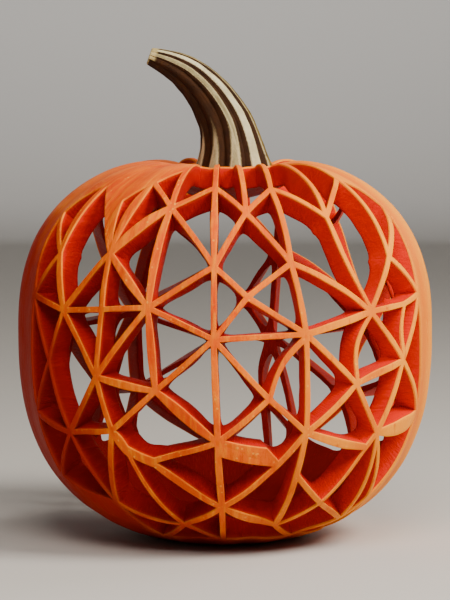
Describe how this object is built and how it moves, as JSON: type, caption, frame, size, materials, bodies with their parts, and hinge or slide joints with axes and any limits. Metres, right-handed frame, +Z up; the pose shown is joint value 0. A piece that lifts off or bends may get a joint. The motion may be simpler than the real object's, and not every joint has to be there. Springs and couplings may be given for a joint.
{
  "type": "carved pumpkin lantern",
  "caption": "Hollow ribbed pumpkin whose thick wall is carved into an open net of straight struts, with a curved ridged stem and a small flat foot.",
  "frame": {"origin": "middle of the flat foot, on the surface that the lantern stands on", "axes": "+Z up along the pumpkin's height to the stem, -Y to the carved front, +X to the right of the front; the stem leans to -X"},
  "size_m": [0.2974, 0.2978, 0.353],
  "materials": {
    "rind": "waxy orange pumpkin skin, satin",
    "flesh": "moist cut flesh, deep red-orange, fibrous",
    "stem": "dry ridged stem, brown grooves and cream ridges"
  },
  "bodies": {
    "root": {"pumpkin": "rind"}
  },
  "joints": []
}
